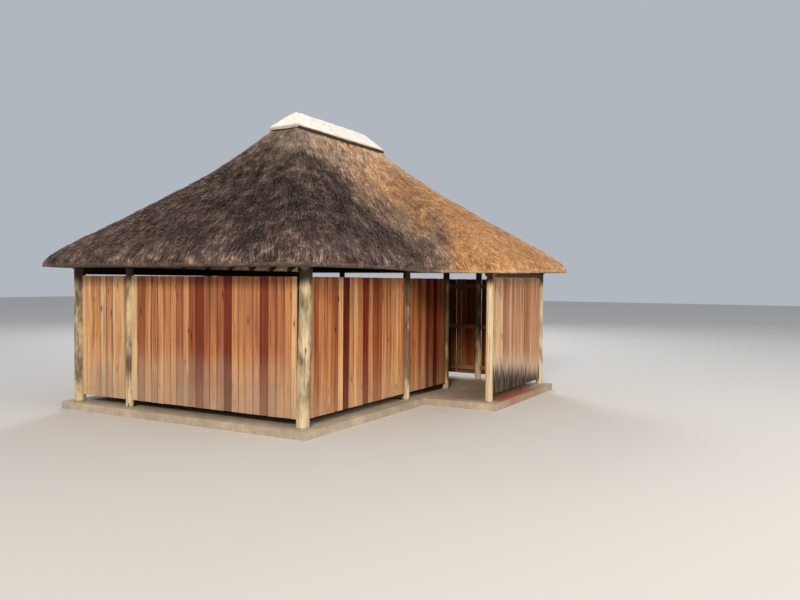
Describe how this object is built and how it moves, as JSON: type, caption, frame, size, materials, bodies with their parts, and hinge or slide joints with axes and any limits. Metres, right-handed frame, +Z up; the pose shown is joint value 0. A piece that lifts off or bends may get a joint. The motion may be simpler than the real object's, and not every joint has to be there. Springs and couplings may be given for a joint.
{
  "type": "thatched timber hut",
  "caption": "Rectangular thatched hut: upright board walls on gum poles, hipped roof with cement ridge cap, open doorway behind a privacy screen, concrete floor.",
  "frame": {"origin": "on the ground under the middle of the roof's eaves", "axes": "+X along the front wall towards the entrance end, +Y from the privacy screen to the back wall, +Z up"},
  "size_m": [6.09, 5.83, 4.207],
  "materials": {
    "concrete": "rough concrete",
    "post_wood": "peeled and weathered",
    "pole_wood": "peeled poles",
    "board_wood": "sawn boards",
    "rail_wood": "sawn",
    "thatch": "combed grass thatch",
    "ridge_cement": "rendered cement"
  },
  "bodies": {
    "root": {"floor_slab": "concrete", "front_left_post": "post_wood", "front_middle_post": "post_wood", "door_post": "post_wood", "front_right_post": "post_wood", "screen_outer_post": "post_wood", "screen_corner_post": "post_wood", "left_middle_post": "post_wood", "right_middle_post": "post_wood", "back_left_post": "post_wood", "back_middle_post": "post_wood", "back_right_post": "post_wood", "front_boards": "board_wood", "left_boards": "board_wood", "right_boards": "board_wood", "back_boards": "board_wood", "screen_boards": "board_wood", "front_rails": "rail_wood", "left_rails": "rail_wood", "right_rails": "rail_wood", "back_rails": "rail_wood", "screen_rails": "rail_wood", "front_plate": "pole_wood", "left_plate": "pole_wood", "right_plate": "pole_wood", "back_plate": "pole_wood", "screen_plate": "pole_wood", "ridge_pole": "pole_wood", "hip_rafters": "pole_wood", "front_rafters": "pole_wood", "left_rafters": "pole_wood", "right_rafters": "pole_wood", "back_rafters": "pole_wood", "collar_ties": "pole_wood", "front_left_laths": "rail_wood", "front_right_laths": "rail_wood", "left_laths": "rail_wood", "right_laths": "rail_wood", "back_laths": "rail_wood", "front_left_thatch": "thatch", "front_right_thatch": "thatch", "left_thatch": "thatch", "right_thatch": "thatch", "back_thatch": "thatch", "ridge_cap": "ridge_cement"}
  },
  "joints": []
}
